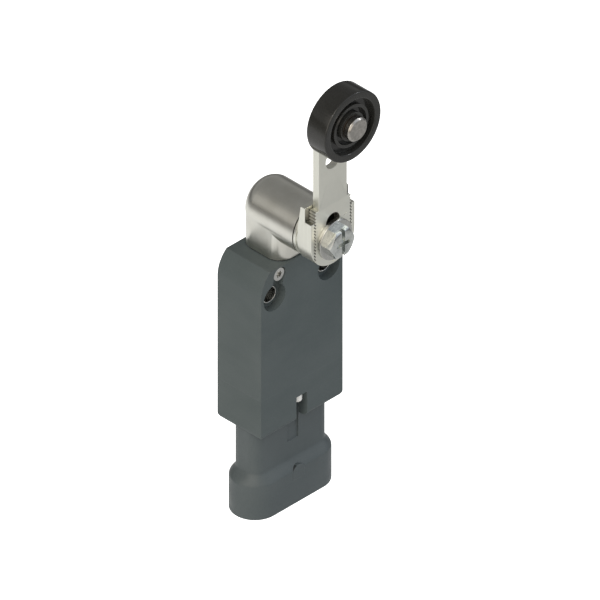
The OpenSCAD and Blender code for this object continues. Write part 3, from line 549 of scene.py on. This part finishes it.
# ---- The two return springs, listed by their joints as deforming, each get a finished copy with a mesh of its own
for joint in frame["record"]["behaviour"]["joints"]:
    for spring in joint.get("deforming_nodes", []):
        coil = copy_of(spring["node"])
        finish_piece(coil, spring["node"])
        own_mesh(coil)

# ---- Painted shade on the washer: its face is dark round the screw head, and its wall only slightly
washer_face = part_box("clamp_washer")[0].y + 0.2 * MM
darken_faces(finished["clamp_washer"], lambda centre, normal: True, lambda at: 0.25 if at.y < washer_face else 0.04)

# ---- The seam between the housing and its lower cap
seam_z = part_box("housing")[0].z
for half in ("housing", "lower_cap"):
    darken_faces(finished[half], lambda centre, normal: abs(normal.z) > 0.9 and abs(centre.z - seam_z) < 0.3 * MM,
            lambda at: 1.0)

# ---- Painted shade on the tooth flanks of the lever and of the hub's ears, and on the front of the hub's block
plate_edge, plate_back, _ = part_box("lever_plate")[1]
tooth_root, tooth_tip = plate_edge - 0.65 * MM, plate_edge - 0.25 * MM
teeth_top = roller_z - 20 * MM
block_top = shaft_z + 7.8 * MM


def lever_flank(centre, normal):
    """The sides of the teeth along the edges of the lever."""
    return abs(normal.y) < 0.3 and abs(centre.x) > tooth_root and centre.z < teeth_top


def hub_flank(centre, normal):
    """The teeth inside the ears of the hub, and the front of the block behind the lever."""
    inner_tooth = abs(normal.y) < 0.3 and centre.x * normal.x < 0 and abs(centre.x) > tooth_root
    block_front = normal.y < -0.9 and centre.y > plate_back
    return centre.y < plate_back + 0.3 * MM and (inner_tooth or block_front)


darken_faces(finished["lever_plate"], lever_flank, lambda at: 0.25 if abs(at.x) > tooth_tip else 0.95)
darken_faces(finished["hub"], hub_flank, lambda at: 0.5 if at.y > plate_back and at.z > block_top else 1.0)

# ---- Every other piece keeps the designed mesh
for node, piece in frame["nodes"].items():
    piece.data.materials.clear()
    piece.data.materials.append(MATERIALS[slot_of[node]])


# ---------------------------------------------------------------- studio
# Brightness of the room by height: 0 straight down, 0.5 level, 1 straight up
ROOM_LEVELS = ((0.0, 0.6), (0.38, 0.5), (0.47, 0.09), (0.545, 0.09), (0.61, 0.36), (0.66, 0.32), (0.74, 0.25),
               (0.79, 0.24), (0.87, 0.215), (0.92, 0.21), (1.0, 0.45))
# Soft patches of light in the room: azimuth, elevation, inner and outer radius in degrees, share, colour
PATCHES = (
    (-128, 22, 4, 20, 0.18, (0.98, 0.97, 0.93)),   # behind on the left
    (-66, 25, 16, 55, 0.95, (2.18, 2.03, 1.82)),   # left
    (35, 26, 14, 52, 0.78, (1.12, 1.18, 1.30)),    # front right
)
FLOOR_HALF = 3.0
FLOOR_DROP = 0.25
LAMP_DISTANCE = 0.8
CAMERA_DISTANCE = 0.6
CAMERA_WIDTH = 0.15571


def toward(azimuth, elevation):
    """A direction in degrees: azimuth turns from the front to the right, elevation rises from the floor."""
    a, e = math.radians(azimuth), math.radians(elevation)
    return Vector((math.sin(a) * math.cos(e), -math.cos(a) * math.cos(e), math.sin(e)))


def stand(name, data, target, azimuth, elevation, distance):
    """Stands a lamp or a camera at a distance from its target, turned to it."""
    thing = bpy.data.objects.new(name, data)
    bpy.context.scene.collection.objects.link(thing)
    away = toward(azimuth, elevation)
    thing.location = target + away * distance
    thing.rotation_euler = away.to_track_quat("Z", "Y").to_euler()
    return thing


def lobe(tree, direction, azimuth, elevation, inner, outer):
    """A soft patch of light in the surroundings, as a share from 0 to 1."""
    agreement = vector_node(tree, "DOT_PRODUCT", direction, toward(azimuth, elevation))
    return spread(tree, agreement, low=math.cos(math.radians(outer)), high=math.cos(math.radians(inner)),
                  to_low=0.0, to_high=1.0)


def surroundings():
    """The room: a dark horizon, a dim ceiling and three soft patches of light."""
    world = bpy.data.worlds.new("studio")
    world.use_nodes = True
    bpy.context.scene.world = world
    tree = world.node_tree
    direction = tree.nodes.new("ShaderNodeTexCoord").outputs["Generated"]
    height = math_node(tree, "MULTIPLY_ADD", axes_of(tree, direction)[2], 0.5, 0.5)
    ramp = tree.nodes.new("ShaderNodeValToRGB")
    ramp.color_ramp.interpolation = "EASE"
    join(tree, height, ramp.inputs[0])
    stops = ramp.color_ramp.elements
    stops.remove(stops[1])
    stops[0].color = (ROOM_LEVELS[0][1],) * 3 + (1.0,)
    for at, level in ROOM_LEVELS[1:]:
        stops.new(at).color = (level, level, level * 0.985, 1.0)

    light = ramp.outputs[0]
    for azimuth, elevation, inner, outer, strength, colour in PATCHES:
        share = math_node(tree, "MULTIPLY", lobe(tree, direction, azimuth, elevation, inner, outer), strength)
        light = mix_colour(tree, share, light, (*colour, 1.0))
    join(tree, light, tree.nodes["Background"].inputs["Color"])
    tree.nodes["Background"].inputs["Strength"].default_value = 1.0


def floor_piece(level):
    """A pale floor that glows in place of a lamp: brighter on its left, falling dark far away, and plain white
    where the camera sees it.
    """
    corners = [(x * FLOOR_HALF, y * FLOOR_HALF, level) for x, y in ((-1, -1), (1, -1), (1, 1), (-1, 1))]
    mesh = bpy.data.meshes.new("floor")
    mesh.from_pydata(corners, [], [(0, 1, 2, 3)])
    floor = bpy.data.objects.new("floor", mesh)
    bpy.context.scene.collection.objects.link(floor)

    material, tree, shader = new_material("pale floor")
    at = place(tree)
    x, y, _ = axes_of(tree, at)
    across = spread(tree, math_node(tree, "SUBTRACT", y, x), low=-0.9, high=0.9, to_low=0.50, to_high=0.92)
    fade = spread(tree, vector_node(tree, "LENGTH", at), low=0.75, high=1.9, to_low=1.0, to_high=0.2)
    seen = tree.nodes.new("ShaderNodeLightPath").outputs["Is Camera Ray"]
    glow = math_node(tree, "ADD", math_node(tree, "MULTIPLY", across, fade), seen)
    shader.inputs["Base Color"].default_value = (0.05, 0.05, 0.05, 1.0)
    shader.inputs["Roughness"].default_value = 1.0
    shader.inputs["Emission Color"].default_value = (1.0, 1.0, 0.99, 1.0)
    join(tree, glow, shader.inputs["Emission Strength"])
    floor.data.materials.append(material)


def softbox(name, azimuth, elevation, size, power, colour, middle):
    """A square lamp that points at the middle of the part; size in metres, power in watts."""
    data = bpy.data.lights.new(name, "AREA")
    data.shape = "SQUARE"
    data.size = size
    data.energy = power
    data.color = colour
    stand(name, data, middle, azimuth, elevation, LAMP_DISTANCE)


def camera():
    """A camera without perspective, from the left, the front and above at equal angles."""
    data = bpy.data.cameras.new("camera")
    data.type = "ORTHO"
    data.ortho_scale = CAMERA_WIDTH
    aim = Vector((3.657, -11.657, -9.75)) * MM
    bpy.context.scene.camera = stand("camera", data, aim, -45.0, 35.264, CAMERA_DISTANCE)


def studio():
    """Floor, room, lamps and camera."""
    low, high = cad_box
    middle = (low + high) / 2
    floor_piece(low.z - FLOOR_DROP)
    surroundings()
    softbox("left softbox", -72, 50, 0.16, 1.0, (1.0, 0.99, 0.96), middle)
    softbox("front softbox", 60, 34, 0.12, 0.55, (0.96, 0.98, 1.0), middle)
    camera()
    bpy.context.scene.view_settings.view_transform = "Standard"


studio()
